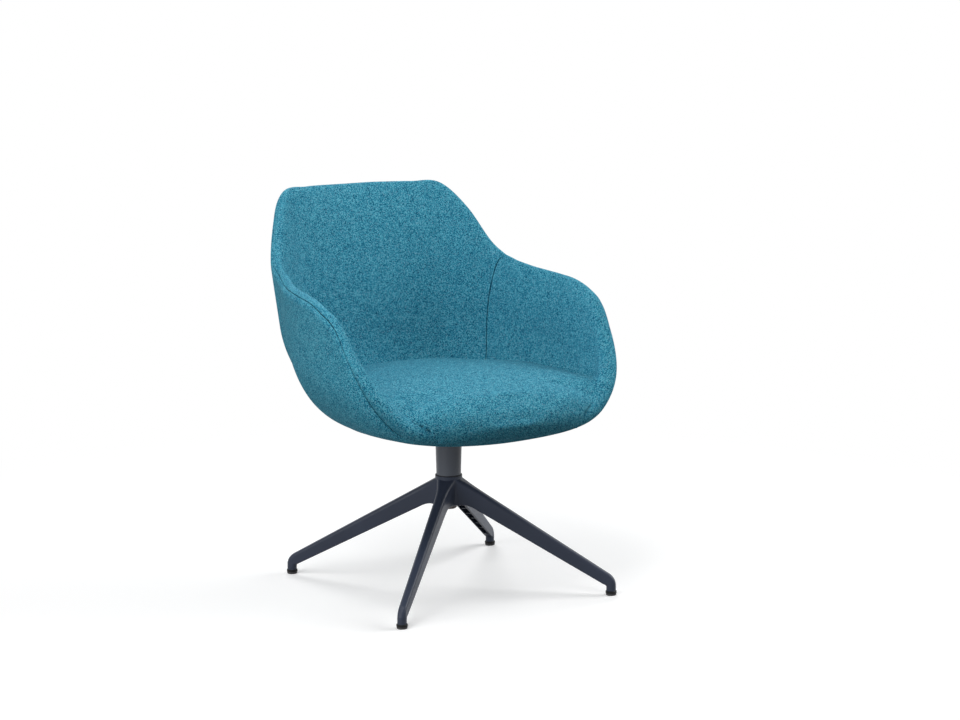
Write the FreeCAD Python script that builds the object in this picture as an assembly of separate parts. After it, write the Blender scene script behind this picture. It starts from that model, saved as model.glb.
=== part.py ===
import FreeCAD, Part
import os
from math import atan2, cos, degrees, hypot, pi, radians, sin, sqrt, tan

V = FreeCAD.Vector
UP = V(0, 0, 1)
ORIGIN = V(0, 0, 0)

# Upholstered swivel tub chair in millimetres, Z up.  The swivel axis meets the
# floor at the origin and the sitter looks along -Y.  Every solid is one real
# piece and goes into its own file, and like fasteners share one.

# Fits used throughout
layer_gap = 0.3            # between two layers of the upholstery
face_gap = 0.02            # between two faces that bear on each other
turning_gap = 0.05         # radial, between a turning pin and its bush
cut_overrun = 2.0          # how far a cutting tool passes the face it opens

# Tub: rim line, wall and floor.  A rise is measured from the tub's underside.
tub_floor_height = 308.5   # floor to the tub's underside at its opening
back_reach = 391.0         # swivel axis to the rim in the middle of the back
back_rise = 445.5          # rim line along the back
lip_rise = 43.5            # rim line under the seat's front
rim_half = 16.5            # half the thickness of the padded wall
wall_bend = 225.0          # widest bend between wall and floor of the tub
tub_opening = 95.0         # radius of the opening under the tub
shell_thickness = 14.0     # moulded shell with its fabric
plate_recess = 4.3         # how far the seat plate is let into the shell
floor_thickness = 10.0     # shell's flat middle over the seat plate

# Outline of the tub at even steps from the middle of the back (first row) to
# the middle of the front (last row): share of back_reach, share of the rise
# from lip to back rim, lean of the wall from upright in degrees, share of
# wall_bend, and climb of the tub's floor in degrees.
outline_shares = (
    (1.000, 1.000, 15, 0.87, 8.0),
    (1.001, 1.000, 14.6, 0.88, 8.0),
    (1.005, 0.999, 13.7, 0.91, 8.0),
    (1.001, 0.988, 12.4, 0.95, 8.0),
    (0.946, 0.848, 10.7, 0.97, 8.0),
    (0.890, 0.688, 8.5, 1.00, 8.0),
    (0.821, 0.623, 6.9, 0.97, 8.0),
    (0.783, 0.595, 5.6, 0.82, 8.1),
    (0.759, 0.583, 4.4, 0.72, 8.9),
    (0.746, 0.574, 3.4, 0.69, 10.1),
    (0.744, 0.563, 3, 0.67, 11.0),
    (0.755, 0.531, 3, 0.62, 11.4),
    (0.772, 0.475, 3, 0.57, 11.8),
    (0.798, 0.323, 4.3, 0.48, 12.0),
    (0.799, 0.179, 17.5, 0.32, 11.2),
    (0.753, 0.058, 42, 0.20, 9.7),
    (0.685, 0.011, 51, 0.18, 8.5),
    (0.629, 0.002, 53, 0.18, 7.8),
    (0.596, 0.000, 54.2, 0.18, 7.4),
    (0.579, 0.000, 54.8, 0.18, 7.1),
    (0.575, 0.000, 55, 0.18, 7.0),
)

# Ribs of the tub on one side, in degrees from the middle of the back
rib_angles = (0, 9, 18, 23.5, 28, 32, 36, 41, 47, 54, 63, 76, 90, 101, 109, 115, 120, 125,
              130, 136, 144, 155, 167, 180)

# Seams between back pad and arm pads: an upright plane on each side
seam_side = 259.0          # where the seam crosses the rim, beside the axis
seam_behind = 222.0        # and behind it
seam_turn = 68.0           # degrees from straight back to the plane's line

# Seat cushion
cushion_half_width = 256.0
cushion_front = 260.0      # axis to the front of the nose
cushion_rear = 272.0       # axis to the rear edge
cushion_crown_rise = 128.5 # from the tub's underside
cushion_edge_rise = 109.5
cushion_side_shares = (0.0, 0.36, 0.62, 0.80, 0.905, 0.965, 1.0)
cushion_front_shares = (1.0, 0.975, 0.90, 0.79, 0.66, 0.50, 0.30)
cushion_rear_shares = (1.0, 0.99, 0.96, 0.92, 0.86, 0.76, 0.60)
cushion_fall_shares = (0.0, 0.06, 0.30, 0.62, 1.0, 1.65, 2.9)
nose_tuck = 16.0           # nose's lower edge behind its foremost line
nose_line_share = 0.40     # height of the foremost line in the nose
shoulder_run = 46.0        # how far the front shoulder rounds back
rear_roll = 44.0           # how far the rear edge rounds forward
shoulder_share = 0.45      # crown left where the front shoulder begins
roll_share = 0.30          # and where the rear roll begins
fullness_share = 0.98      # how full the front shoulder is

# Swivel column
column_radius = 24.4       # at the hub's top face
taper_share = 0.025        # radius gained per height, one in twenty on the diameter
column_top_drop = 22.5     # column's top below the tub's underside
column_foot = 164.0
column_bore = 17.0
column_base_wall = 5.0
neck_radius = 16.4         # cup under the column's foot
neck_height = 156.0
cup_wall = 1.2
spindle_radius = 14.0
pin_radius = 7.0           # spindle's lower pin
bush_length = 22.0
bush_flange = 1.6
bush_flange_width = 8.5

# Roller thrust bearing at the spindle's foot
roller_radius = 1.5
roller_length = 4.6
roller_count = 8
race_thickness = 2.4
race_inner = 8.0
race_outer = 16.2
cage_thickness = 1.6

# Washer and spring clip that keep the spindle down
washer_radius = 13.6
washer_thickness = 2.0
clip_radius = 12.0
clip_thickness = 1.5
clip_depth = 1.2           # depth of its groove
clip_mouth = 9.0

# Seat plate and its fasteners
plate_radius = 86.0
plate_thickness = 4.5
socket_radius = 21.0
socket_wall_chamfer = 1.2
press_radius = 42.0        # middle of the plate's pressed ring
press_width = 12.0
press_depth = 1.8
bolt_circle = 66.0
bolt_start = 45.0          # degrees from +X to the first bolt
bolt_count = 4
bolt_radius = 3.0
bolt_length = 16.0
bolt_head_radius = 6.2
bolt_head_height = 3.6
bolt_head_chamfer = 1.4
hex_socket_flats = 4.0
hex_sides = 6
tee_barrel_radius = 4.4
tee_flange_radius = 9.0
tee_flange_height = 1.6
trim_width = 15.0
trim_thickness = 3.0
trim_chamfer = 1.2

# Star base
leg_count = 4
leg_start = 45.0           # degrees from +X to the first leg
foot_circle = 330.0        # swivel axis to the middle of a glide
hub_top = 223.0
hub_ring_radius = 27.0
hub_ring_height = 9.0      # straight ring at the hub's top
hub_bottom = 165.0
hub_foot_radius = 29.5
hub_foot_chamfer = 2.0
ring_height = 1.4          # dark ring between hub and column
ring_width = 1.2
leg_line_reach = 60.0      # a point on the leg's top line
leg_line_height = 196.5
knee_height = 39.6         # where that line meets the foot circle
leg_root_reach = 86.0      # where the straight part starts, on the top line
leg_root_depth = 34.8
leg_root_width = 21.5
leg_end_depth = 22.6       # where the bend starts
leg_end_width = 15.8
leg_bend = 17.0            # bend's radius on the leg's middle line
bend_step_count = 5
post_depth = 19.0          # along the leg
post_width = 17.6
post_bottom = 9.0
leg_wall = 2.6
leg_draft = 1.0            # how far the hollow's sides draw in upward
leg_skin = 4.2             # metal over the hollow
hollow_end = 20.0          # hollow stops this far before the bend
hollow_start_reach = 70.0
cross_rib_count = 6
cross_rib_thickness = 2.6
cross_rib_inset = 3.0      # ribs stop short of the leg's lower edge
corner_upper_share = 0.36  # leg's corner radii as shares of its width
corner_lower_share = 0.12
post_corner_share = 0.485
# Sections of a leg's neck from the hub outward: reach of its top and of its
# foot as shares of the root's reach, width as a share of the root's width, and
# drop of its foot as a share of the drop from the hub's bottom to the root.
neck_shares = (
    (0.19, 0.19, 1.85, 0.0),
    (0.35, 0.34, 1.48, 0.0),
    (0.49, 0.44, 1.24, 0.03),
    (0.63, 0.545, 1.10, 0.21),
    (0.79, 0.66, 1.03, 0.55),
)

# Glides
glide_radius = 10.9
glide_lip = 4.6
glide_chamfer = 0.9
sole_radius = 10.2
glide_stem_radius = 5.0
glide_stem_length = 9.0
sole_recess = 1.5
sole_spigot = 6.4


def rail(height, radius, drop=0.0, at=ORIGIN):
    """Upright cylinder from `drop` to `height`."""
    return Part.makeCylinder(radius, height - drop, at + V(0, 0, drop))


def ring(outer, inner, low, high):
    return rail(high, outer, low).cut(rail(high + cut_overrun, inner, low - cut_overrun))


def revolve(places, at=ORIGIN):
    """Solid of revolution about an upright axis from (radius, height) places."""
    points = [V(r, 0, z) for r, z in places]
    face = Part.Face(Part.makePolygon(points + [points[0]]))
    solid = face.revolve(ORIGIN, UP, 360)
    solid.translate(at)
    return solid


def around(shape, count, start=0.0):
    """Copies of a shape evenly about the swivel axis."""
    copies = []
    for k in range(count):
        turned = shape.copy()
        turned.rotate(ORIGIN, UP, start + 360.0 * k / count)
        copies.append(turned)
    return copies


def write(name, shape):
    shape.exportStep("parts/" + name + ".step")


# Tub ribs.  A rib is worked out in its own upright half plane through the
# swivel axis, in reach (distance from the axis) and height.

def outline_at(angle):
    """Values of the outline at any angle, on a smooth curve through its rows."""
    last = len(outline_shares) - 1
    spot = abs(angle) / 180 * last
    k = min(int(spot), last - 1)
    t = spot - k
    rows = [outline_shares[last - abs(last - abs(k + step))] for step in (-1, 0, 1, 2)]
    values = []
    for a, b, c, d in zip(*rows):
        slope = (c - a) / 2
        swell = a - (5 * b - 4 * c + d) / 2
        twist = (3 * (b - c) + d - a) / 2
        values.append(b + slope * t + swell * t ** 2 + twist * t ** 3)
    return values


class Rib:
    """Outer profile of the tub: floor line, bend, wall line and rim."""

    def __init__(self, angle):
        reach_share, rise_share, lean, bend_share, climb = outline_at(angle)
        self.angle = radians(angle)
        lean, climb = radians(lean), radians(climb)
        self.rim = (back_reach * reach_share,
                    tub_floor_height + lip_rise + (back_rise - lip_rise) * rise_share)
        self.bend = wall_bend * bend_share
        self.up = (sin(lean), cos(lean))
        self.out = (cos(lean), -sin(lean))
        self.along = (cos(climb), sin(climb))
        self.inward = (-sin(climb), cos(climb))
        wall = self.step(self.rim, self.out, rim_half - self.bend)
        floor = self.step((tub_opening, tub_floor_height), self.inward, self.bend)
        across = (floor[0] - wall[0], floor[1] - wall[1])
        spread = self.up[1] * self.along[0] - self.up[0] * self.along[1]
        travel = (self.along[0] * across[1] - self.along[1] * across[0]) / spread
        self.centre = self.step(wall, self.up, travel)

    @staticmethod
    def step(place, direction, length):
        return (place[0] + direction[0] * length, place[1] + direction[1] * length)

    def at(self, place):
        return V(place[0] * sin(self.angle), place[0] * cos(self.angle), place[1])

    def top(self, depth, lowered=0.0):
        """Wall's top edge, `depth` inside the outer surface."""
        return self.step(self.step(self.rim, self.out, rim_half - depth), self.up, -lowered)

    def bend_top(self, depth):
        return self.step(self.centre, self.out, self.bend - depth)

    def bend_foot(self, depth):
        return self.step(self.centre, self.inward, depth - self.bend)

    def bend_middle(self, depth):
        middle = (self.out[0] - self.inward[0], self.out[1] - self.inward[1])
        size = hypot(middle[0], middle[1])
        return self.step(self.centre, (middle[0] / size, middle[1] / size), self.bend - depth)

    def mouth(self, depth):
        """Floor's edge at the opening, `depth` above the underside."""
        foot = self.bend_foot(depth)
        back = (tub_opening - foot[0]) / self.along[0]
        return self.step(foot, self.along, back)

    def places(self, depth, lowered=0.0):
        """Mouth, bend's foot, middle and head, and wall's top at one depth."""
        return [self.at(place) for place in (
            self.mouth(depth), self.bend_foot(depth), self.bend_middle(depth),
            self.bend_top(depth), self.top(depth, lowered))]

    def outward(self, depth, lowered=0.0):
        """Edges from the opening to the wall's top at one depth."""
        mouth, foot, middle, head, top = self.places(depth, lowered)
        return [Part.makeLine(mouth, foot), Part.Arc(foot, middle, head).toShape(),
                Part.makeLine(head, top)]

    def inwards(self, depth, lowered=0.0):
        """The same edges from the wall's top back to the opening."""
        mouth, foot, middle, head, top = self.places(depth, lowered)
        return [Part.makeLine(top, head), Part.Arc(head, middle, foot).toShape(),
                Part.makeLine(foot, mouth)]

    def roll(self, extra=0.0):
        """Half round of the rim, from the outer face over to the inner face."""
        half = rim_half + extra
        outer = self.step(self.rim, self.out, half)
        inner = self.step(self.rim, self.out, -half)
        crest = self.step(self.rim, self.up, half)
        lift = half * sqrt(0.5)
        first = self.step(self.step(self.rim, self.out, lift), self.up, lift)
        second = self.step(self.step(self.rim, self.out, -lift), self.up, lift)
        return [Part.Arc(self.at(outer), self.at(first), self.at(crest)).toShape(),
                Part.Arc(self.at(crest), self.at(second), self.at(inner)).toShape()]

    def layer(self, near, far):
        """Closed profile of a layer between two depths of the wall."""
        return Part.Wire(self.outward(near, layer_gap)
                         + [Part.makeLine(self.at(self.top(near, layer_gap)),
                                          self.at(self.top(far, layer_gap)))]
                         + self.inwards(far, layer_gap)
                         + [Part.makeLine(self.at(self.mouth(far)),
                                          self.at(self.mouth(near)))])

    def lining(self, near):
        """Closed profile of the pads: over the rim and down the inside."""
        full = 2 * rim_half
        return Part.Wire(self.roll() + self.inwards(full)
                         + [Part.makeLine(self.at(self.mouth(full)),
                                          self.at(self.mouth(near)))]
                         + self.outward(near)
                         + [Part.makeLine(self.at(self.top(near)),
                                          self.at(self.top(0.0)))])

    def envelope(self, extra):
        """Closed profile of the whole wall with `extra` room round it."""
        full = 2 * rim_half + extra
        return Part.Wire(self.roll(extra) + self.inwards(full)
                         + [Part.makeLine(self.at(self.mouth(full)),
                                          self.at(self.mouth(-extra)))]
                         + self.outward(-extra))


def tub_ribs():
    """Ribs all the way round, from the front by one side to the other."""
    one_side = [Rib(angle) for angle in reversed(rib_angles)]
    other = [Rib(-angle) for angle in rib_angles[1:-1]]
    return one_side + other


def tub_ring(profile):
    """Closed loft through one profile of every rib, straight from rib to rib."""
    return Part.makeLoft([profile(rib) for rib in tub_ribs()], True, True, True)


def make_tub_shell():
    """Moulded shell with a flat middle that closes the tub's opening."""
    shell = tub_ring(lambda rib: rib.layer(0.0, shell_thickness))
    middle = rail(shell_floor + floor_thickness, tub_opening + cut_overrun, shell_floor)
    shell = shell.fuse(middle)
    hole = rail(shell_floor + floor_thickness + cut_overrun, tee_barrel_radius + face_gap,
                shell_floor - cut_overrun, V(bolt_circle, 0, 0))
    for tool in around(hole, bolt_count, bolt_start):
        shell = shell.cut(tool)
    return shell


def seam_room(sign, gap):
    """Room in front of one seam plane, moved forward by `gap`."""
    size = 4 * back_reach
    room = Part.makeBox(size, size, size, V(-size / 2, 0, -size / 4))
    room.rotate(ORIGIN, UP, 180 + 90 - seam_turn)
    room.translate(V(seam_side, seam_behind, 0))
    turn = radians(seam_turn)
    room.translate(V(cos(turn), -sin(turn), 0) * gap)
    if sign < 0:
        room = room.mirror(ORIGIN, V(1, 0, 0))
    return room


def half_room(sign, gap):
    """Room on one side of the middle plane."""
    size = 4 * back_reach
    corner = gap if sign > 0 else -size - gap
    return Part.makeBox(size, size, size, V(corner, -size / 2, -size / 4))


def make_pads():
    """Lining of the tub in three pieces: back, left arm and right arm."""
    lining = tub_ring(lambda rib: rib.lining(shell_thickness + layer_gap))
    half_gap = layer_gap / 2
    back = lining.cut(seam_room(1, -half_gap)).cut(seam_room(-1, -half_gap))
    pads = [back]
    for sign in (1, -1):
        pads.append(lining.common(seam_room(sign, half_gap)).common(half_room(sign, half_gap)))
    return [max(pad.Solids, key=lambda s: s.Volume) for pad in pads]


def cushion_profile(side_share, front_share, rear_share, fall_share):
    """Closed upright profile of the cushion at one place across its width."""
    x = cushion_half_width * side_share
    low = tub_floor_height + 2 * rim_half + layer_gap
    crown_height = tub_floor_height + cushion_crown_rise
    drop = cushion_crown_rise - cushion_edge_rise
    high = crown_height - drop * fall_share
    shrink = (high - low) / (crown_height - low)
    edge = high - drop
    line = low + (edge - low) * nose_line_share
    front = -cushion_front * front_share
    rear = cushion_rear * rear_share
    shoulder = front + shoulder_run * shrink
    roll = rear - rear_roll * shrink
    bow = 1 - sqrt(0.5)
    tuck = V(x, front + nose_tuck * shrink, low)
    nose = V(x, front, line)
    over = V(x, shoulder, edge + drop * shoulder_share)
    back = V(x, roll, edge + drop * roll_share)
    end = V(x, rear, line)
    tuck_bow = V(x, front + nose_tuck * shrink * bow, low + (line - low) * bow)
    nose_bow = V(x, front + shoulder_run * shrink * bow,
                 line + (high - line) * sqrt(0.5) * fullness_share)
    middle = V(x, (shoulder + roll) / 2, high)
    end_bow = V(x, rear - rear_roll * shrink * bow, line + (edge - line) * sqrt(0.5))
    foot = V(x, rear - nose_tuck * shrink, low)
    return Part.Wire([
        Part.Arc(tuck, tuck_bow, nose).toShape(),
        Part.Arc(nose, nose_bow, over).toShape(),
        Part.Arc(over, middle, back).toShape(),
        Part.Arc(back, end_bow, end).toShape(),
        Part.makeLine(end, foot),
        Part.makeLine(foot, tuck),
    ])


def make_seat_cushion():
    """Crowned cushion, trimmed all round to the inside of the tub."""
    rows = list(zip(cushion_side_shares, cushion_front_shares, cushion_rear_shares,
                    cushion_fall_shares))
    rows = [(-row[0],) + row[1:] for row in reversed(rows[1:])] + rows
    blank = Part.makeLoft([cushion_profile(*row) for row in rows], True, True)
    cushion = blank.cut(tub_ring(lambda rib: rib.envelope(layer_gap)))
    return max(cushion.Solids, key=lambda s: s.Volume)


# Heights in the seat plate, the column and the mechanism inside it
shell_floor = tub_floor_height + plate_recess
plate_top = shell_floor - face_gap
plate_low = plate_top - plate_thickness
column_top = tub_floor_height - column_top_drop
flange_top = column_top + face_gap + bush_flange
socket_low = flange_top + layer_gap
column_floor = column_foot + column_base_wall
lower_race_low = column_floor + face_gap
roller_height = lower_race_low + race_thickness + face_gap + roller_radius
upper_race_low = roller_height + roller_radius + face_gap
shoulder_height = upper_race_low + race_thickness + face_gap
washer_top = column_foot - turning_gap
clip_low = washer_top - washer_thickness - turning_gap - clip_thickness
pin_low = neck_height + cup_wall + turning_gap


def column_outer(height):
    """The column widens upward with its taper."""
    return column_radius + (height - hub_top) * taper_share


def socket_inner(height):
    """The plate's socket narrows upward with the same taper."""
    return spindle_radius - (height - socket_low) * taper_share


def make_seat_plate():
    """Round steel plate with a pressed ring and a tapered socket."""
    low, high = plate_low, plate_top
    near, far = press_radius - press_width / 2, press_radius + press_width / 2
    foot = socket_low
    plate = revolve([
        (0, foot), (socket_radius - socket_wall_chamfer, foot),
        (socket_radius, foot + socket_wall_chamfer), (socket_radius, low),
        (near - press_depth, low), (near, low - press_depth),
        (far, low - press_depth), (far + press_depth, low),
        (plate_radius, low), (plate_radius, high),
        (far + press_depth, high), (far, high - press_depth),
        (near, high - press_depth), (near - press_depth, high), (0, high)])
    bore = revolve([(0, foot - cut_overrun),
                    (socket_inner(foot - cut_overrun) + face_gap, foot - cut_overrun),
                    (socket_inner(high + cut_overrun) + face_gap, high + cut_overrun),
                    (0, high + cut_overrun)])
    plate = plate.cut(bore)
    hole = rail(high + cut_overrun, bolt_radius + turning_gap, low - cut_overrun,
                V(bolt_circle, 0, 0))
    for tool in around(hole, bolt_count, bolt_start):
        plate = plate.cut(tool)
    return plate


def hexagon(flats, low, high, at):
    """Upright hexagonal bar, by the size across its flats."""
    corner = flats / 2 / cos(pi / hex_sides)
    turns = [2 * pi * side / hex_sides for side in range(hex_sides + 1)]
    points = [at + V(corner * cos(turn), corner * sin(turn), low) for turn in turns]
    return Part.Face(Part.makePolygon(points)).extrude(V(0, 0, high - low))


def make_plate_bolts():
    """Socket screws up through the plate into the tee nuts."""
    place = V(bolt_circle, 0, 0)
    high = plate_low - face_gap
    low = high - bolt_head_height
    bolt = revolve([
        (0, low), (bolt_head_radius - bolt_head_chamfer, low),
        (bolt_head_radius, low + bolt_head_chamfer), (bolt_head_radius, high),
        (bolt_radius, high), (bolt_radius, low + bolt_length), (0, low + bolt_length)], place)
    bolt = bolt.cut(hexagon(hex_socket_flats, low - cut_overrun, low + bolt_head_height / 2,
                            place))
    return Part.makeCompound(around(bolt, bolt_count, bolt_start))


def make_tee_nuts():
    """Barrels in the shell's floor, flanged on its upper side."""
    seat = shell_floor + floor_thickness + face_gap
    bore = bolt_radius + turning_gap
    nut = revolve([
        (bore, shell_floor + turning_gap), (tee_barrel_radius, shell_floor + turning_gap),
        (tee_barrel_radius, seat), (tee_flange_radius, seat),
        (tee_flange_radius, seat + tee_flange_height), (bore, seat + tee_flange_height)],
        V(bolt_circle, 0, 0))
    return Part.makeCompound(around(nut, bolt_count, bolt_start))


def make_trim_ring():
    """Moulded ring that hides the fabric's edge round the seat plate."""
    high = tub_floor_height - layer_gap
    low = high - trim_thickness
    inner = plate_radius + layer_gap
    outer = inner + trim_width
    return revolve([(inner, low + trim_chamfer), (inner + trim_chamfer, low),
                    (outer - trim_chamfer, low), (outer, low + trim_chamfer),
                    (outer, high), (inner, high)])


def make_column_tube():
    """Tapered column, open at the top, with a hole for the spindle's pin."""
    bore, hole = column_bore, pin_radius + turning_gap
    return revolve([(hole, column_foot), (column_outer(column_foot), column_foot),
                    (column_outer(column_top), column_top), (bore, column_top),
                    (bore, column_floor), (hole, column_floor)])


def make_bush(low, flange):
    """Plastic bush in the column's bore, the upper one with a flange."""
    outer, inner = column_bore - face_gap, spindle_radius + turning_gap
    high = low + bush_length
    places = [(inner, low), (outer, low), (outer, high), (inner, high)]
    if flange:
        wide = column_bore + bush_flange_width
        places = [(inner, low), (outer, low), (outer, high + face_gap),
                  (wide, high + face_gap), (wide, high + face_gap + bush_flange),
                  (inner, high + face_gap + bush_flange)]
    return revolve(places)


def make_race(low):
    return ring(race_outer, race_inner, low, low + race_thickness)


def roller_middle():
    return (race_outer + race_inner) / 2


def make_rollers():
    """Rollers lying on spokes between the two races."""
    start = V(roller_middle() - roller_length / 2, 0, roller_height)
    roller = Part.makeCylinder(roller_radius, roller_length, start, V(1, 0, 0))
    return Part.makeCompound(around(roller, roller_count))


def make_cage():
    """Flat ring with a pocket for each roller."""
    low = roller_height - cage_thickness / 2
    cage = ring(race_outer, race_inner, low, low + cage_thickness)
    long = roller_length + 2 * turning_gap
    wide = 2 * (roller_radius + turning_gap)
    pocket = Part.makeBox(long, wide, cage_thickness + 2 * cut_overrun,
                          V(roller_middle() - long / 2, -wide / 2, low - cut_overrun))
    for tool in around(pocket, roller_count):
        cage = cage.cut(tool)
    return cage


def make_spindle():
    """Shaft with a lower pin, a clip groove and an upper taper."""
    top = plate_top - face_gap
    groove = pin_radius - clip_depth
    return revolve([
        (0, pin_low), (pin_radius, pin_low), (pin_radius, clip_low - face_gap),
        (groove, clip_low - face_gap), (groove, clip_low + clip_thickness + face_gap),
        (pin_radius, clip_low + clip_thickness + face_gap), (pin_radius, shoulder_height),
        (spindle_radius, shoulder_height), (spindle_radius, socket_low),
        (socket_inner(top), top), (0, top)])


def make_washer():
    return ring(washer_radius, pin_radius + turning_gap, washer_top - washer_thickness,
                washer_top)


def make_clip():
    """Open spring clip in the pin's groove."""
    clip = ring(clip_radius, pin_radius - clip_depth + face_gap, clip_low,
                clip_low + clip_thickness)
    mouth = Part.makeBox(clip_radius + cut_overrun, clip_mouth,
                         clip_thickness + 2 * cut_overrun,
                         V(0, -clip_mouth / 2, clip_low - cut_overrun))
    return clip.cut(mouth)


def make_end_cup():
    """Pressed cup under the column's foot that covers pin and clip."""
    high = column_foot - face_gap
    corner = cup_wall * 2
    inner = neck_radius - cup_wall
    return revolve([(0, neck_height), (neck_radius - corner, neck_height),
                    (neck_radius, neck_height + corner), (neck_radius, high), (inner, high),
                    (inner, neck_height + corner), (inner - cup_wall, neck_height + cup_wall),
                    (0, neck_height + cup_wall)])


# Star base.  A leg is worked out along +X: its places are (reach, height) and
# its sections stand square to its middle line.
fall = atan2(leg_line_height - knee_height, foot_circle - leg_line_reach)
leg_down = (cos(fall), -sin(fall))
leg_square = (-sin(fall), -cos(fall))


def top_line(reach):
    return leg_line_height - (reach - leg_line_reach) * tan(fall)


def leg_section(top, foot, width, upper, lower):
    """Rounded section between a place on the top line and one on the lower line."""
    depth = hypot(top[0] - foot[0], top[1] - foot[1])
    rise = V((top[0] - foot[0]) / depth, 0, (top[1] - foot[1]) / depth)
    middle = V((top[0] + foot[0]) / 2, 0, (top[1] + foot[1]) / 2)
    half, tall = width / 2, depth / 2

    def spot(across, upward):
        return middle + V(0, across, 0) + rise * upward

    corners = []
    for sx, sz, radius in ((1, -1, lower), (1, 1, upper), (-1, 1, upper), (-1, -1, lower)):
        bow = radius * (1 - sqrt(0.5))
        ends = [spot(sx * half, sz * (tall - radius)), spot(sx * (half - radius), sz * tall)]
        if sx * sz < 0:
            ends.reverse()
        corners.append((ends[0], spot(sx * (half - bow), sz * (tall - bow)), ends[1]))
    edges = []
    for k, (start, bowed, end) in enumerate(corners):
        edges.append(Part.Arc(start, bowed, end).toShape())
        edges.append(Part.makeLine(end, corners[(k + 1) % len(corners)][0]))
    return Part.Wire(edges)


def bend_places():
    """Middle of the bend at its start, its end and its centre."""
    half = leg_end_depth / 2
    reach = foot_circle + leg_square[0] * half
    height = top_line(reach - leg_square[0] * half) + leg_square[1] * half
    corner = height + (reach - foot_circle) * tan(fall)
    tangent = leg_bend * tan((pi / 2 - fall) / 2)
    return ((foot_circle - tangent * leg_down[0], corner - tangent * leg_down[1]),
            (foot_circle, corner - tangent),
            (foot_circle - leg_bend, corner - tangent))


def leg_end_reach():
    """Reach of the top line where the bend starts."""
    return bend_places()[0][0] - leg_square[0] * leg_end_depth / 2


def straight_size(share):
    """Reach, depth and width of the straight part, from its root (0) to the bend (1)."""
    return (leg_root_reach + (leg_end_reach() - leg_root_reach) * share,
            leg_root_depth + (leg_end_depth - leg_root_depth) * share,
            leg_root_width + (leg_end_width - leg_root_width) * share)


def below_top(reach, depth):
    """Place square under the top line."""
    return (reach + leg_square[0] * depth, top_line(reach) + leg_square[1] * depth)


def straight_section(share):
    reach, depth, width = straight_size(share)
    return leg_section(below_top(reach, 0), below_top(reach, depth), width,
                       width * corner_upper_share, width * corner_lower_share)


def hollow_section(share):
    """Section of the hollow between the leg's side walls."""
    reach, depth, width = straight_size(share)
    high, low = below_top(reach, leg_skin), below_top(reach, depth + cut_overrun)
    narrow, wide = width / 2 - leg_wall - leg_draft, width / 2 - leg_wall
    corners = [V(high[0], narrow, high[1]), V(low[0], wide, low[1]),
               V(low[0], -wide, low[1]), V(high[0], -narrow, high[1])]
    return Part.makePolygon(corners + [corners[0]])


def bend_section(share):
    """Section of the bend, from the straight part (0) to the post (1)."""
    centre = bend_places()[2]
    turn = (pi / 2 - fall) * (1 - share)
    out = (cos(turn), sin(turn))
    depth = leg_end_depth + (post_depth - leg_end_depth) * share
    width = leg_end_width + (post_width - leg_end_width) * share
    upper = corner_upper_share + (post_corner_share - corner_upper_share) * share
    lower = corner_lower_share + (post_corner_share - corner_lower_share) * share
    near, far = leg_bend - depth / 2, leg_bend + depth / 2
    top = (centre[0] + out[0] * far, centre[1] + out[1] * far)
    foot = (centre[0] + out[0] * near, centre[1] + out[1] * near)
    return leg_section(top, foot, width, width * upper, width * lower)


def neck_section(top_share, foot_share, width_share, drop_share):
    reach = leg_root_reach * top_share
    width = leg_root_width * width_share
    drop = hub_bottom - below_top(leg_root_reach, leg_root_depth)[1]
    return leg_section((reach, min(top_line(reach), hub_top)),
                       (leg_root_reach * foot_share, hub_bottom - drop * drop_share), width,
                       leg_root_width * corner_upper_share, leg_root_width * corner_lower_share)


def make_leg():
    """Neck, straight part, bend and post of one leg."""
    necks = [neck_section(*row) for row in neck_shares]
    neck = Part.makeLoft(necks + [straight_section(0)], True, False)
    body = Part.makeLoft([straight_section(0), straight_section(1)], True, True)
    bend = Part.makeLoft([bend_section(k / bend_step_count) for k in range(bend_step_count + 1)],
                         True, True)
    post = Part.Face(bend_section(1)).extrude(V(0, 0, post_bottom - bend_places()[1][1]))
    leg = neck
    for piece in (body, bend, post):
        leg = leg.fuse(piece)
    return leg


def make_leg_hollow():
    """Open underside of a leg between its cross ribs."""
    span = leg_end_reach() - leg_root_reach
    first = (hollow_start_reach - leg_root_reach) / span
    last = 1 - hollow_end / span
    hollow = Part.makeLoft([hollow_section(first), hollow_section(last)], True, True)
    for k in range(cross_rib_count):
        share = first + (last - first) * (k + 1) / (cross_rib_count + 1)
        reach, depth, _ = straight_size(share)
        web = Part.makeBox(cross_rib_thickness, leg_root_width, depth - cross_rib_inset,
                           V(-cross_rib_thickness / 2, -leg_root_width / 2, cross_rib_inset - depth))
        web.rotate(ORIGIN, V(0, 1, 0), degrees(fall))
        web.translate(V(reach, 0, top_line(reach)))
        hollow = hollow.cut(web)
    return hollow


def make_star_base():
    """Die-cast star: a hub and four legs, ribbed and hollow underneath."""
    base = revolve([(0, hub_bottom), (hub_foot_radius - hub_foot_chamfer, hub_bottom),
                    (hub_foot_radius, hub_bottom + hub_foot_chamfer),
                    (hub_ring_radius, hub_top - hub_ring_height),
                    (hub_ring_radius, hub_top), (0, hub_top)])
    leg = make_leg().cut(make_leg_hollow())
    seat = rail(post_bottom + glide_stem_length, glide_stem_radius + face_gap,
                post_bottom - cut_overrun, V(foot_circle, 0, 0))
    leg = leg.cut(seat)
    for one in around(leg, leg_count, leg_start):
        base = base.fuse(one)
    low, high = hub_bottom - cut_overrun, hub_top + cut_overrun
    bore = revolve([(0, low), (column_outer(low) + face_gap, low),
                    (column_outer(high) + face_gap, high), (0, high)])
    return base.cut(bore)


def make_hub_ring():
    """Thin dark ring lying on the hub round the column."""
    low = hub_top + face_gap
    return ring(hub_ring_radius - ring_width / 2, column_outer(low + ring_height) + turning_gap,
                low, low + ring_height)


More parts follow.
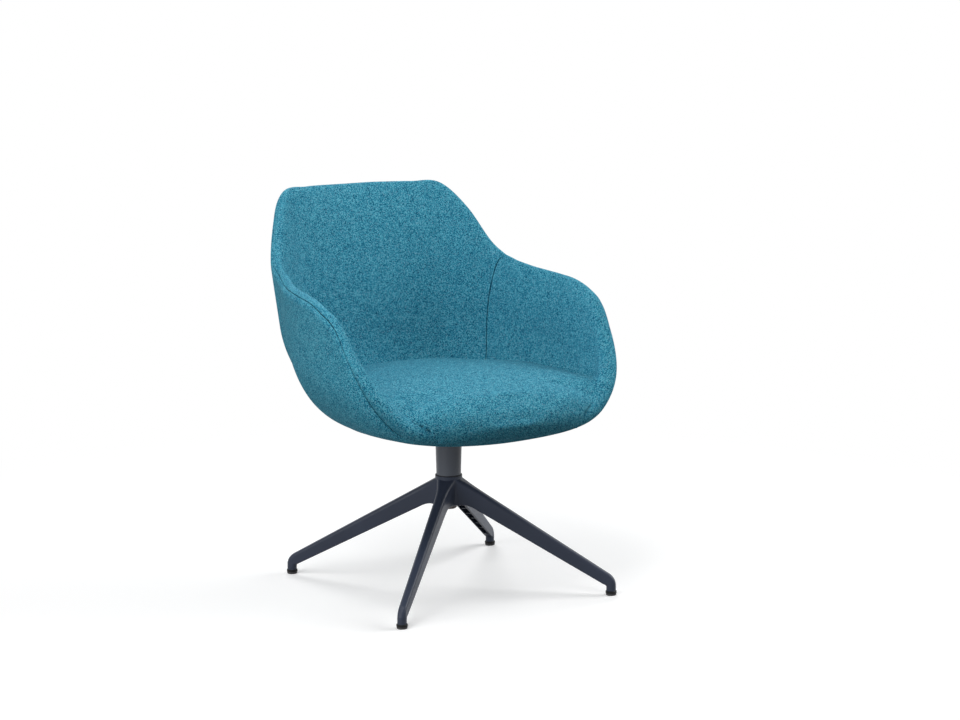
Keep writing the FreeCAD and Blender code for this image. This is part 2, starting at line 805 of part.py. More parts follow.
def make_glide_cap():
    """Lip ring with a stem in the leg's post."""
    high = post_bottom - face_gap
    low = high - glide_lip
    stem = high + glide_stem_length - cut_overrun
    return revolve([
        (0, low + sole_recess), (sole_spigot + face_gap, low + sole_recess),
        (sole_spigot + face_gap, low), (glide_radius, low),
        (glide_radius, high - glide_chamfer), (glide_radius - glide_chamfer, high),
        (glide_stem_radius, high), (glide_stem_radius, stem), (0, stem)])


def make_glide_sole():
    """Wear pad with a spigot in the cap's recess."""
    high = post_bottom - 2 * face_gap - glide_lip
    return revolve([
        (0, 0), (sole_radius - glide_chamfer, 0), (sole_radius, glide_chamfer),
        (sole_radius, high), (sole_spigot, high), (sole_spigot, high + sole_recess),
        (0, high + sole_recess)])


def main():
    os.makedirs("parts", exist_ok=True)
    write("star_base", make_star_base())
    write("hub_ring", make_hub_ring())
    write("column_tube", make_column_tube())
    write("end_cup", make_end_cup())
    write("lower_bush", make_bush(shoulder_height + layer_gap, False))
    write("upper_bush", make_bush(column_top - bush_length, True))
    write("lower_race", make_race(lower_race_low))
    write("upper_race", make_race(upper_race_low))
    write("roller_cage", make_cage())
    write("bearing_rollers", make_rollers())
    write("spindle", make_spindle())
    write("retaining_washer", make_washer())
    write("retaining_clip", make_clip())
    write("seat_plate", make_seat_plate())
    write("plate_bolts", make_plate_bolts())
    write("tee_nuts", make_tee_nuts())
    write("trim_ring", make_trim_ring())
    for k, name in enumerate(("rear_left", "rear_right", "front_right", "front_left")):
        turn = leg_start + 360.0 * k / leg_count
        for kind, shape in (("glide_cap_", make_glide_cap()), ("glide_sole_", make_glide_sole())):
            shape.translate(V(foot_circle, 0, 0))
            shape.rotate(ORIGIN, UP, turn)
            write(kind + name, shape)
    write("tub_shell", make_tub_shell())
    for name, pad in zip(("inner_back_pad", "arm_pad_left", "arm_pad_right"), make_pads()):
        write(name, pad)
    write("seat_cushion", make_seat_cushion())


main()
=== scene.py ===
import bmesh
import bpy
import numpy as np
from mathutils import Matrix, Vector


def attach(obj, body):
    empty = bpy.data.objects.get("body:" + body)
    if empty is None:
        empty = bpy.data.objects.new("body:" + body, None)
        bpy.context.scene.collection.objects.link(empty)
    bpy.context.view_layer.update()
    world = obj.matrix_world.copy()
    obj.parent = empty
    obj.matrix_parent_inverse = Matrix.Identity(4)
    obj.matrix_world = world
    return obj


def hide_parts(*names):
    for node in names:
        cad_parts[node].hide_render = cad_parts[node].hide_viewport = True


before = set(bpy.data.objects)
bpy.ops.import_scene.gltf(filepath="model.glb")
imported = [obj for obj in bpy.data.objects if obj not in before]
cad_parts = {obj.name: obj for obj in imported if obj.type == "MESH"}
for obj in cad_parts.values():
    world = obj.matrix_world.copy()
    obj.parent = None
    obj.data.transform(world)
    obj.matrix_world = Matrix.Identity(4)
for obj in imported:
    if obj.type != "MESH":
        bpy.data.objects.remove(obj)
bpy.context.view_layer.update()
print("frame loaded")

mm = 0.001      # metres in a millimetre


def linearColour(hexText):
    # sRGB to linear: c / 12.92 below 0.04045, else ((c + 0.055) / 1.055) to the power 2.4
    parts = [int(hexText[k:k + 2], 16) / 255 for k in (0, 2, 4)]
    return [c / 12.92 if c <= 0.04045 else ((c + 0.055) / 1.055) ** 2.4 for c in parts] + [1.0]


def shadedColour(hexText, shade):
    # a colour times a shade, which is 1 for the colour as it is written
    return [c * shade for c in linearColour(hexText)[:3]] + [1.0]


def noiseScale(spotMm):
    # Noise Texture's scale for spots of a size: one step of the noise, 1 / scale, is 1.6 spots
    return 1 / (spotMm * mm * 1.6)


def emptyTree(owner):
    # node tree of a material or a world, with nothing in it
    owner.use_nodes = True
    owner.node_tree.nodes.clear()
    return owner.node_tree


def addNode(tree, kind, links=(), **settings):
    # links: (input name or number, output socket or plain value)
    # settings: node attributes, or input values with _ for a space in the input's name
    node = tree.nodes.new(kind)
    for key, value in settings.items():
        if hasattr(node, key):
            setattr(node, key, value)
        else:
            node.inputs[key.replace("_", " ")].default_value = value
    for place, source in links:
        if isinstance(source, bpy.types.NodeSocket):
            tree.links.new(source, node.inputs[place])
        else:
            node.inputs[place].default_value = source
    return node


def smoothShade(mesh):
    # every face shaded smooth
    mesh.polygons.foreach_set("use_smooth", np.ones(len(mesh.polygons), dtype=bool))


def meshObject(name, points, quads, weld=0.0):
    # points in millimetres, quads as rows of four vertex numbers; a weld joins points that lie
    # within that many millimetres of each other
    mesh = bpy.data.meshes.new(name)
    quads = np.asarray(quads, dtype=np.int32)
    mesh.vertices.add(len(points))
    mesh.vertices.foreach_set("co", (np.asarray(points, dtype=np.float32) * mm).ravel())
    mesh.loops.add(quads.size)
    mesh.loops.foreach_set("vertex_index", quads.ravel())
    mesh.polygons.add(len(quads))
    mesh.polygons.foreach_set("loop_start", np.arange(0, quads.size, 4, dtype=np.int32))
    mesh.update(calc_edges=True)
    mesh.validate()
    if weld:
        work = bmesh.new()
        work.from_mesh(mesh)
        bmesh.ops.remove_doubles(work, verts=work.verts, dist=weld * mm)
        bmesh.ops.recalc_face_normals(work, faces=work.faces)
        work.to_mesh(mesh)
        work.free()
    smoothShade(mesh)
    piece = bpy.data.objects.new(name, mesh)
    bpy.context.scene.collection.objects.link(piece)
    return piece


def gridQuads(rows, columns, aroundRows=False, aroundColumns=False):
    # vertex numbers of the quads of a grid kept row by row, closed round either way if asked
    r = np.arange(rows if aroundRows else rows - 1)[:, None]
    c = np.arange(columns if aroundColumns else columns - 1)[None, :]
    nextR = (r + 1) % rows
    nextC = (c + 1) % columns
    corners = [r * columns + c, r * columns + nextC, nextR * columns + nextC, nextR * columns + c]
    return np.stack([np.broadcast_to(k, (r.size, c.size)) for k in corners], -1).reshape(-1, 4)


def aroundAxis(reach, height, angle):
    # point at a reach from the swivel axis, 0 degrees behind: x = reach sin, y = reach cos
    turn = np.radians(angle)
    return np.stack([reach * np.sin(turn), reach * np.cos(turn), height + 0 * turn], -1)


def smoothNoise(places, size, seed):
    # sum of nine slow sine waves with seeded directions, each 0.7 to 1.6 times `size` mm long,
    # over 4, which brings it to about -1 to 1
    rng = np.random.default_rng(seed)
    total = np.zeros(places.shape[:-1])
    for k in range(9):
        direction = rng.normal(size=3)
        direction *= 2 * np.pi / (size * rng.uniform(0.7, 1.6)) / np.linalg.norm(direction)
        total += np.sin(places @ direction + rng.uniform(0, 2 * np.pi))
    return total / 4


melange = {
    "light": "66B8CC", "middle": "3591AC", "dark": "1C6886", "deep": "0C4863",
    "places": (0.352, 0.43, 0.497, 0.572),    # where deep to light lie in the mixed noise
    "yarnMm": 1.4,       # felted yarn, drawn a little coarser than real so that it shows
    "cloudMm": 9.0,      # slow clouds of tone over several yarns
    "yarnShare": 0.66, "fleckShare": 0.22, "cloudShare": 0.10,
    "heather": "8394AC", "heatherRare": 0.91, "heatherMix": 0.30,     # a few greyer fibres
    "bumpMm": 0.8, "bump": 0.55, "roughness": 0.93, "specular": 0.1,
    "sheen": 0.07, "sheenRoughness": 0.5, "sheenTint": "9CCFDD",
}


def makeMelange(name, shade, shiftMm):
    # Melange wool felt, woven and fulled: short fibres of four blues and a few grey ones mixed in
    # the yarn give a grainy speckle, a soft nap and no gloss.  The shift gives each piece its own
    # part of the pattern.
    m = melange
    material = bpy.data.materials.new(name)
    tree = emptyTree(material)
    place = addNode(tree, "ShaderNodeTexCoord").outputs["Object"]
    shift = addNode(tree, "ShaderNodeMapping", [("Vector", place)],
                    Location=[shiftMm * mm] * 3).outputs[0]
    yarn = addNode(tree, "ShaderNodeTexNoise", [("Vector", shift)], Scale=noiseScale(m["yarnMm"]),
                   Detail=3.0, Roughness=0.72, Distortion=0.25).outputs["Fac"]
    fleck = addNode(tree, "ShaderNodeTexVoronoi", [("Vector", shift)],
                    Scale=1 / (m["yarnMm"] * mm)).outputs["Color"]
    fleckGrey = addNode(tree, "ShaderNodeRGBToBW", [("Color", fleck)]).outputs[0]
    cloud = addNode(tree, "ShaderNodeTexNoise", [("Vector", shift)],
                    Scale=noiseScale(m["cloudMm"]), Detail=2.0, Roughness=0.6).outputs["Fac"]
    # mixed noise: yarn, flecks and clouds, each times its share, added up
    mixed = 0.0
    for source, share in ((yarn, "yarnShare"), (fleckGrey, "fleckShare"), (cloud, "cloudShare")):
        mixed = addNode(tree, "ShaderNodeMath", [(0, source), (1, m[share]), (2, mixed)],
                        operation="MULTIPLY_ADD").outputs[0]
    ramp = addNode(tree, "ShaderNodeValToRGB", [("Fac", mixed)])
    stops = ramp.color_ramp.elements
    while len(stops) < len(m["places"]):
        stops.new(0.5)
    for stop, spot, key in zip(stops, m["places"], ("deep", "dark", "middle", "light")):
        stop.position = spot
        stop.color = shadedColour(m[key], shade)
    # the greyer fibres: flecks whose green is above a high limit
    green = addNode(tree, "ShaderNodeSeparateColor", [("Color", fleck)]).outputs["Green"]
    rare = addNode(tree, "ShaderNodeMath", [(0, green), (1, m["heatherRare"])],
                   operation="GREATER_THAN").outputs[0]
    amount = addNode(tree, "ShaderNodeMath", [(0, rare), (1, m["heatherMix"])],
                     operation="MULTIPLY").outputs[0]
    fibres = addNode(tree, "ShaderNodeMixRGB", [("Fac", amount), ("Color1", ramp.outputs["Color"])],
                     Color2=shadedColour(m["heather"], shade)).outputs[0]
    bump = addNode(tree, "ShaderNodeBump", [("Height", mixed)], Strength=m["bump"],
                   Distance=m["bumpMm"] * mm).outputs[0]
    shader = addNode(tree, "ShaderNodeBsdfPrincipled", [("Base Color", fibres), ("Normal", bump)],
                     Roughness=m["roughness"], Specular_IOR_Level=m["specular"], IOR=1.5,
                     Sheen_Weight=m["sheen"], Sheen_Roughness=m["sheenRoughness"],
                     Sheen_Tint=linearColour(m["sheenTint"]))
    addNode(tree, "ShaderNodeOutputMaterial", [("Surface", shader.outputs[0])])
    return material


coat = {
    "wideMm": 60.0,          # slow change of tone over a part
    "low": 0.3, "high": 0.7,     # the noise's usual range
    "glossSwing": 0.05, "bump": 0.5,
}


def makeCoated(name, colour, roughness, grainMm, bumpMm, swing, metallic=0.0, specular=0.5):
    # colour that swings slowly by a share, and a fine grain that shifts gloss and height a little
    material = bpy.data.materials.new(name)
    tree = emptyTree(material)
    place = addNode(tree, "ShaderNodeTexCoord").outputs["Object"]
    grain = addNode(tree, "ShaderNodeTexNoise", [("Vector", place)], Scale=noiseScale(grainMm),
                    Detail=2.0, Roughness=0.6).outputs["Fac"]
    wide = addNode(tree, "ShaderNodeTexNoise", [("Vector", place)],
                   Scale=noiseScale(coat["wideMm"]), Detail=2.0).outputs["Fac"]
    tone = addNode(tree, "ShaderNodeValToRGB", [("Fac", wide)])
    ends = ((coat["low"], 1 - swing), (coat["high"], 1 + swing))
    for stop, (spot, shade) in zip(tone.color_ramp.elements, ends):
        stop.position = spot
        stop.color = shadedColour(colour, shade)
    gloss = addNode(tree, "ShaderNodeMapRange", [("Value", grain)],
                    From_Min=coat["low"], From_Max=coat["high"],
                    To_Min=roughness - coat["glossSwing"],
                    To_Max=roughness + coat["glossSwing"]).outputs[0]
    bump = addNode(tree, "ShaderNodeBump", [("Height", grain)], Strength=coat["bump"],
                   Distance=bumpMm * mm).outputs[0]
    shader = addNode(tree, "ShaderNodeBsdfPrincipled",
                     [("Base Color", tone.outputs["Color"]), ("Roughness", gloss),
                      ("Normal", bump)], Metallic=metallic)
    if not metallic:
        shader.inputs["Specular IOR Level"].default_value = specular
    addNode(tree, "ShaderNodeOutputMaterial", [("Surface", shader.outputs[0])])
    return material


# the same felt in three copies whose shades differ a little as painted light: the seat's copy is
# the darkest, painted shade that offsets the top light it catches
shellFelt = makeMelange("shellMelangeFelt", 0.95, 310.0)
padFelt = makeMelange("padMelangeFelt", 0.96, 0.0)
seatFelt = makeMelange("seatMelangeFelt", 0.92, 570.0)
# epoxy-polyester powder coat on die-cast aluminium: dark slate, satin, with a faint orange peel
powderCoat = makeCoated("slatePowderCoat", "353C4C", roughness=0.38, grainMm=1.6, bumpMm=0.05,
                        swing=0.10, specular=0.22)
# baked enamel on drawn steel tube: an even grey, smoother than the base's coat
columnPaint = makeCoated("greyBakedEnamel", "5C616A", roughness=0.36, grainMm=1.2, bumpMm=0.02,
                         swing=0.05, specular=0.25)
# zinc primer sprayed on turned steel: dull taupe with a dry grain
cupPaint = makeCoated("taupeZincPrimer", "6E6462", roughness=0.5, grainMm=1.2, bumpMm=0.03,
                      swing=0.08)
# stove enamel on pressed steel: black, dull, thin enough to show the sheet's own grain
platePaint = makeCoated("blackStoveEnamel", "18191C", roughness=0.5, grainMm=1.5, bumpMm=0.04,
                        swing=0.10)
# nylon moulded against an eroded tool: near black, with a fine dull grain
moulding = makeCoated("blackMouldedNylon", "0B0C0E", roughness=0.50, grainMm=0.9, bumpMm=0.04,
                      swing=0.10, specular=0.2)
# moulded thermoplastic rubber that bears on the floor: matt grey, scuffed a little
solePad = makeCoated("greyMouldedSole", "3B3A3C", roughness=0.7, grainMm=0.9, bumpMm=0.05,
                     swing=0.12)
# machined acetal: ivory, smooth and slightly waxy
bushResin = makeCoated("ivoryAcetal", "D8D4C8", roughness=0.4, grainMm=1.0, bumpMm=0.02,
                       swing=0.04)
# ground bearing steel: bright and clean, with hardly a mark
groundSteel = makeCoated("groundBearingSteel", "B9BABC", roughness=0.28, grainMm=0.7, bumpMm=0.01,
                         swing=0.05, metallic=1.0)
# black oxide on spring and screw steel: a dark metal with an oily half gloss
boltSteel = makeCoated("blackOxideSteel", "3A3A3C", roughness=0.42, grainMm=0.8, bumpMm=0.02,
                       swing=0.08, metallic=1.0)
print("materials made")

nodeFinish = {
    "star_base": powderCoat, "hub_ring": moulding, "column_tube": columnPaint,
    "end_cup": cupPaint, "lower_bush": bushResin, "upper_bush": bushResin,
    "lower_race": groundSteel, "upper_race": groundSteel, "roller_cage": bushResin,
    "bearing_rollers": groundSteel, "spindle": groundSteel, "retaining_washer": groundSteel,
    "retaining_clip": boltSteel, "seat_plate": platePaint, "plate_bolts": boltSteel,
    "tee_nuts": boltSteel, "trim_ring": moulding,
}
for corner in ("rear_left", "rear_right", "front_right", "front_left"):
    nodeFinish["glide_cap_" + corner] = moulding
    nodeFinish["glide_sole_" + corner] = solePad
for node, finish in nodeFinish.items():
    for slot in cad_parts[node].material_slots:
        slot.material = finish
print("CAD nodes finished")


# Tub in mm.  Its outline has a row every 9 degrees from the middle of the back to the middle of
# the front: share of the back's reach, share of the rise from lip to back rim, lean of the wall in
# degrees, share of the wall's bend, climb of the floor in degrees.
tub = {
    "backReach": 391.0,      # swivel axis to the middle of the rim's thickness behind
    "floorHeight": 308.5,    # underside of the tub round the opening
    "backRise": 445.5, "lipRise": 43.5,      # rim's centre over that, behind and in front
    "wallBend": 225.0,       # radius between wall and floor where its share is 1
    "rimHalf": 16.5,         # half the wall's thickness with its padding
    "shellThick": 14.0, "floorThick": 10.0,
    "opening": 95.0, "plateRecess": 4.3,     # round recess for the seat plate: radius and depth
    "outline": (
        (1.000, 1.000, 15, 0.87, 8.0), (1.001, 1.000, 14.6, 0.88, 8.0),
        (1.005, 0.999, 13.7, 0.91, 8.0), (1.007, 0.990, 12.4, 0.95, 8.0),
        (0.950, 0.862, 10.7, 0.97, 8.0), (0.895, 0.688, 8.5, 1.00, 8.0),
        (0.821, 0.623, 6.9, 0.97, 8.0), (0.783, 0.595, 5.6, 0.82, 8.1),
        (0.759, 0.583, 4.4, 0.72, 8.9), (0.746, 0.574, 3.4, 0.69, 10.1),
        (0.744, 0.563, 3, 0.67, 11.0), (0.755, 0.531, 3, 0.62, 11.4),
        (0.772, 0.475, 3, 0.57, 11.8), (0.798, 0.323, 4.3, 0.48, 12.0),
        (0.799, 0.179, 17.5, 0.32, 11.2), (0.753, 0.058, 42, 0.20, 9.7),
        (0.685, 0.011, 51, 0.18, 8.5), (0.629, 0.002, 53, 0.18, 7.8),
        (0.596, 0.000, 54.2, 0.18, 7.4), (0.579, 0.000, 54.8, 0.18, 7.1),
        (0.575, 0.000, 55, 0.18, 7.0),
    ),
}


def outlineAt(angle):
    # smooth curve through the rows: even-step cubic whose slope at a row is half the step between
    # its neighbours; the rows mirror at the middle of the back and of the front
    rows = np.array(tub["outline"])
    last = len(rows) - 1
    spot = np.abs(angle) / 180 * last
    spot = last - np.abs(last - spot)
    k = np.minimum(spot.astype(int), last - 1)
    t = (spot - k)[..., None]
    a, b, c, d = [rows[last - np.abs(last - np.abs(k + j))] for j in (-1, 0, 1, 2)]
    slope = (c - a) / 2
    square = a - (5 * b - 4 * c + d) / 2
    cube = (3 * (b - c) + d - a) / 2
    return b + slope * t + square * t ** 2 + cube * t ** 3


def ribAt(angle):
    # rib in its upright half plane: rim centre, wall direction and outward direction, floor
    # direction and its normal, bend radius, bend centre, wall length and bend angle; the centre
    # is where the wall line and the floor line, both moved in by the bend's radius, cross
    o = outlineAt(angle)
    lip = tub["floorHeight"] + tub["lipRise"]
    rise = tub["backRise"] - tub["lipRise"]
    rim = np.stack([tub["backReach"] * o[..., 0], lip + rise * o[..., 1]], -1)
    lean = np.radians(o[..., 2])
    climb = np.radians(o[..., 4])
    bend = tub["wallBend"] * o[..., 3]
    up = np.stack([np.sin(lean), np.cos(lean)], -1)
    out = np.stack([np.cos(lean), -np.sin(lean)], -1)
    along = np.stack([np.cos(climb), np.sin(climb)], -1)
    inward = np.stack([-np.sin(climb), np.cos(climb)], -1)
    wall = rim + (tub["rimHalf"] - bend)[..., None] * out
    floor = np.array([tub["opening"], tub["floorHeight"]]) + bend[..., None] * inward
    across = floor - wall
    spread = up[..., 1] * along[..., 0] - up[..., 0] * along[..., 1]
    travel = (along[..., 0] * across[..., 1] - along[..., 1] * across[..., 0]) / spread
    centre = wall + travel[..., None] * up
    turn = np.arccos(np.clip(-(out * inward).sum(-1), -1, 1))
    return {"rim": rim, "up": up, "out": out, "along": along, "inward": inward, "bend": bend,
            "centre": centre, "wall": -travel, "turn": turn}


def floorLength(rib, depth):
    # from the bend's foot along the floor to the opening's edge: level distance over the cosine
    foot = rib["centre"] - (rib["bend"] - depth)[..., None] * rib["inward"]
    return (foot[..., 0] - tub["opening"]) / rib["along"][..., 0]


def outerLength(rib):
    # outer skin from the rim's base to the opening: wall, arc of the bend and floor
    return rib["wall"] + rib["bend"] * rib["turn"] + floorLength(rib, 0.0)


def innerLength(rib):
    # inner skin likewise, with the rim's half round before it and the smaller radius inside
    full = 2 * tub["rimHalf"]
    return (np.pi * tub["rimHalf"] + rib["wall"] + (rib["bend"] - full) * rib["turn"]
            + floorLength(rib, full))


def skin(angle, path, depth):
    # Point of the tub's skin.  `path` runs in mm from the rim's outer base: negative down the
    # outer wall, round the bend and along the floor, positive over the rim's half round and down
    # the inside the same way.  `depth` goes from that skin into the wall.
    angle, path, depth = np.broadcast_arrays(angle, path, depth)
    rib = ribAt(angle)
    half = tub["rimHalf"]
    over = np.pi * half
    inside = path > over
    outside = path < 0
    run = np.where(inside, path - over, np.where(outside, -path, 0.0))
    radius = np.where(inside, rib["bend"] - 2 * half, rib["bend"])      # radius of that side's skin
    reachOff = np.where(inside, radius + depth, radius - depth)
    bendRun = run - rib["wall"]
    turn = np.clip(bendRun / radius, 0, rib["turn"])
    floorRun = np.maximum(bendRun - radius * rib["turn"], 0)
    side = np.where(inside, -half + depth, half - depth)
    onWall = rib["rim"] + side[..., None] * rib["out"] - run[..., None] * rib["up"]
    spoke = np.cos(turn)[..., None] * rib["out"] - np.sin(turn)[..., None] * rib["up"]
    onBend = rib["centre"] + reachOff[..., None] * spoke
    onFloor = (rib["centre"] - reachOff[..., None] * rib["inward"]
               - floorRun[..., None] * rib["along"])
    roll = np.clip(path, 0, over) / half
    rimSpoke = np.cos(roll)[..., None] * rib["out"] + np.sin(roll)[..., None] * rib["up"]
    onRim = rib["rim"] + (half - depth)[..., None] * rimSpoke
    flat = np.where((floorRun > 0)[..., None], onFloor, onBend)
    flat = np.where((bendRun < 0)[..., None], onWall, flat)
    flat = np.where((inside | outside)[..., None], flat, onRim)
    return aroundAxis(flat[..., 0], flat[..., 1], angle)


# Outer seam: where the lining meets the outer cover, in mm of path from the rim's outer base.
# Side seam, between back pad and arm pad: angles at shares of the path down the inside.
seams = {
    "outerAngles": (0, 50, 65, 82, 95, 105, 112, 118, 124, 130, 136, 144, 155, 180),
    "outerPaths": (12.9, 12.9, 12.9, 13.2, 12.6, 10.5, 6.0, -3.0, -17.0, -24.0, -21.0, -14.0,
                   -9.0, -8.0),
    "sideShares": (0, 0.06, 0.12, 0.20, 0.32, 0.44, 0.56, 0.78, 1.0),
    "sideAngles": (51.5, 49.7, 47.6, 46.05, 44.75, 44.65, 46.2, 48.5, 50.0),
    "round": 1.9, "gap": 0.9,              # radius of the edges and width between them
    "dip": 1.3, "dipWidth": 9.0,           # depth and width of the hollow along a seam
    "frontGap": 2.4, "frontDip": 3.0,      # deeper where the lining comes down to the front
    "armRise": (92, 118), "armFall": (130, 144),      # angles over which that comes and goes
}


def ease(x, low, high):
    # slow step from 0 at `low` to 1 at `high`: 3t2 - 2t3
    t = np.clip((x - low) / (high - low), 0, 1)
    return t * t * (3 - 2 * t)


def smoothThrough(spot, places, values):
    # smooth curve through the listed places: a slow cubic between neighbours, flat at both ends
    x = np.array(places, float)
    y = np.array(values, float)
    slope = np.gradient(y, x)
    slope[0] = slope[-1] = 0.0
    k = np.clip(np.searchsorted(x, spot) - 1, 0, len(x) - 2)
    width = x[k + 1] - x[k]
    t = np.clip((spot - x[k]) / width, 0, 1)
    return ((2 * t ** 3 - 3 * t ** 2 + 1) * y[k] + (t ** 3 - 2 * t ** 2 + t) * width * slope[k]
            + (3 * t ** 2 - 2 * t ** 3) * y[k + 1] + (t ** 3 - t ** 2) * width * slope[k + 1])


def outerSeam(angle):
    # path of the outer seam at an angle, the same on both sides
    places = np.abs(np.asarray(angle, float))
    return smoothThrough(places, seams["outerAngles"], seams["outerPaths"])


def sideSeamAngle(share):
    # angle of the upright seam at a share of the way down the inside
    return smoothThrough(share, seams["sideShares"], seams["sideAngles"])


def armShare(angle):
    # 1 on the fronts of the arms, 0 behind them and under the nose
    a = np.abs(angle)
    return ease(a, *seams["armRise"]) * (1 - ease(a, *seams["armFall"]))


def seamGap(angle):
    # width of the outer seam's groove: the usual gap, wider by the share on the arms' fronts
    return seams["gap"] + (seams["frontGap"] - seams["gap"]) * armShare(angle)


def edgeSteps(radius, count=6):
    # rounded edge: distances from the edge and depths, r(1 - sin a) and r(1 - cos a)
    a = np.linspace(np.pi / 2, 0, count)
    return radius * (1 - np.sin(a)), radius * (1 - np.cos(a))


def seamDip(distance, angle=0.0):
    # slow hollow beside a seam, where stitches pull the foam down: a bell curve of the distance
    dip = seams["dip"] + (seams["frontDip"] - seams["dip"]) * armShare(angle)
    return dip * np.exp(-(distance / seams["dipWidth"]) ** 2)


print("tub form ready")

cover = {
    "around": 420, "wallRows": 150, "innerRows": 60,
    "crowding": 1.15,        # above 1, the rows lie closer near the seam
    "wave": 0.5, "waveMm": 160.0, "waveSeed": 3, "calmMm": 60.0,     # slow waves, calm at the seam
    "plateMiddle": 60.0,     # radius of a ring within the plate's recess
    "tuckGap": 0.6, "tuckDepth": 9.0,     # where the cover goes in behind the seam
}


def makeShellCover():
    # closed skin: from the seam down the outside to the mouth, across the plate's recess to the
    # axis, back over the floor's upper side and up inside the wall
    angle = np.linspace(-180, 180, cover["around"], endpoint=False)[None, :]
    rib = ribAt(angle)
    start = outerSeam(angle) - seamGap(angle) / 2
    edge, sunk = edgeSteps(seams["round"])
    total = outerLength(rib) + start
    share = np.linspace(0, 1, cover["wallRows"])[1:, None] ** cover["crowding"]
    path = np.concatenate([edge[:, None] + 0 * angle,
                           edge[-1] + share * (total - edge[-1])], 0)
    depth = np.concatenate([sunk, np.zeros(len(share))])[:, None] + seamDip(path, angle)
    wave = smoothNoise(skin(angle, start - path, 0.0), cover["waveMm"], cover["waveSeed"])
    wave = wave * cover["wave"] * np.clip(path / cover["calmMm"], 0, 1)
    outer = skin(angle, start - path, depth + wave)
    bottom = tub["floorHeight"] + tub["plateRecess"]
    top = bottom + tub["floorThick"]
    rings = ((tub["opening"], bottom), (cover["plateMiddle"], bottom), (0.0, bottom),
             (0.0, top), (tub["opening"], top))
    recess = [aroundAxis(reach, height, angle) for reach, height in rings]
    back = np.linspace(1, 0, cover["innerRows"])[:, None]
    innerPath = -(seams["round"] + back * (outerLength(rib) - seams["round"])) + 0 * angle
    inner = skin(angle, innerPath, tub["shellThick"])
    tuck = skin(angle, start - cover["tuckGap"], cover["tuckDepth"])
    rows = np.concatenate([outer] + recess + [inner, tuck], 0)
    quads = gridQuads(rows.shape[0], rows.shape[1], True, True)
    piece = meshObject("shellCover", rows.reshape(-1, 3), quads, weld=0.01)
    piece.data.materials.append(shellFelt)
    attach(piece, "seat")
    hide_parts("tub_shell")


# Pads in mm, angles in degrees
pads = {
    "thick": 14.0, "rows": 150, "columns": 200,
    "backLength": 520.0, "armLength": 430.0,     # usual way down the inside, for the edge's rows
    "seamReach": 290.0,      # usual reach of the upright seam, which turns degrees into mm
    "crown": 1.6, "crownMm": 60.0,               # swell, and how far from a seam it is reached
    "wave": 0.7, "waveMm": 130.0, "waveSeed": 11, "calmMm": 40.0,
    "roll": 13.0, "rollRise": 14.0, "rollFall": 35.0, "rollAngles": (100, 122),
    "deepest": 9.0,          # the front face goes no deeper than this
}


def padPanel(name, side, material):
    # side 0: back pad between both upright seams; side 1 or -1: arm pad from its upright seam
    # to the middle of the front.  Front face, rounded edges and back face in one closed mesh.
    edge, sunk = edgeSteps(seams["round"])
    rows = pads["rows"]
    columns = pads["columns"]
    # rows along the path: rounded edge first, then even shares
    usual = pads["armLength"] if side else pads["backLength"]
    share = np.concatenate([edge / usual, np.linspace(edge[-1] / usual, 1, rows)[1:]])[:, None]
    seamAt = sideSeamAngle(share[:, 0])[:, None]
    perDegree = np.radians(1) * pads["seamReach"]
    fromSeam = (edge + seams["gap"] / 2)[None, :] / perDegree
    if side:
        near = seamAt + fromSeam
        rest = near[:, -1:] + (180 - near[:, -1:]) * np.linspace(0, 1, columns)[None, 1:]
        angle = np.concatenate([near, rest], 1)
        depthColumns = np.concatenate([sunk, np.zeros(columns - 1)])[None, :]
        toSide = (angle - seamAt) * perDegree
    else:
        near = seamAt - fromSeam
        rest = near[:, -1:] * np.linspace(-1, 1, columns)[None, 1:-1]
        angle = np.concatenate([-near, rest, near[:, ::-1]], 1)
        depthColumns = np.concatenate([sunk, np.zeros(columns - 2), sunk[::-1]])[None, :]
        toSide = (seamAt - np.abs(angle)) * perDegree
    start = outerSeam(angle) + seamGap(angle) / 2
    length = innerLength(ribAt(angle)) - start
    path = share * length
    depth = (np.concatenate([sunk, np.zeros(rows - 1)])[:, None] + depthColumns
             + seamDip(path, angle) + seamDip(toSide))
    # the foam rolls over the rim in a wider round than the board under it, but not at the nose
    past = np.maximum(start + path - np.pi / 2 * tub["rimHalf"], 0)
    roll = pads["roll"] * (1 - np.exp(-(past / pads["rollRise"]) ** 2))
    depth = depth + (roll * np.exp(-past / pads["rollFall"])
                     * (1 - ease(np.abs(angle), *pads["rollAngles"])))
    bulge = (pads["crown"] * (1 - np.exp(-(toSide / pads["crownMm"]) ** 2))
             * (1 - np.exp(-(path / pads["crownMm"]) ** 2)))
    base = skin(angle, start + path, 0.0)
    wave = (pads["wave"] * smoothNoise(base, pads["waveMm"], pads["waveSeed"] + side)
            * np.clip(toSide / pads["calmMm"], 0, 1))
    front = skin(angle, start + path, np.minimum(depth - bulge + wave, pads["deepest"]))
    back = skin(angle, start + path, pads["thick"] + 0 * depth)
    if side < 0:
        front[..., 0] *= -1
        back[..., 0] *= -1
    # both faces as one grid closed round its rows, then a strip that closes each side
    count, wide = front.shape[:2]
    points = np.concatenate([front.reshape(-1, 3), back[::-1].reshape(-1, 3)])
    quads = [gridQuads(2 * count, wide, True, False)]
    low = np.arange(count - 1)
    other = 2 * count - 1 - low
    for column in (0, wide - 1):
        strip = [low * wide, (low + 1) * wide, (other - 1) * wide, other * wide]
        quads.append(np.stack(strip, -1) + column)
    piece = meshObject(name, points, np.concatenate(quads), weld=0.005)
    piece.data.materials.append(material)
    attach(piece, "seat")
    return piece


makeShellCover()
print("outer cover made")
backPad = padPanel("backPad", 0, padFelt)
leftPad = padPanel("leftArmPad", 1, padFelt)
rightPad = padPanel("rightArmPad", -1, padFelt)
for piece, node, slot in ((backPad, "inner_back_pad", "back_fabric"),
                          (leftPad, "arm_pad_left", "arm_fabric"),
                          (rightPad, "arm_pad_right", "arm_fabric")):
    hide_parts(node)
print("pads made")


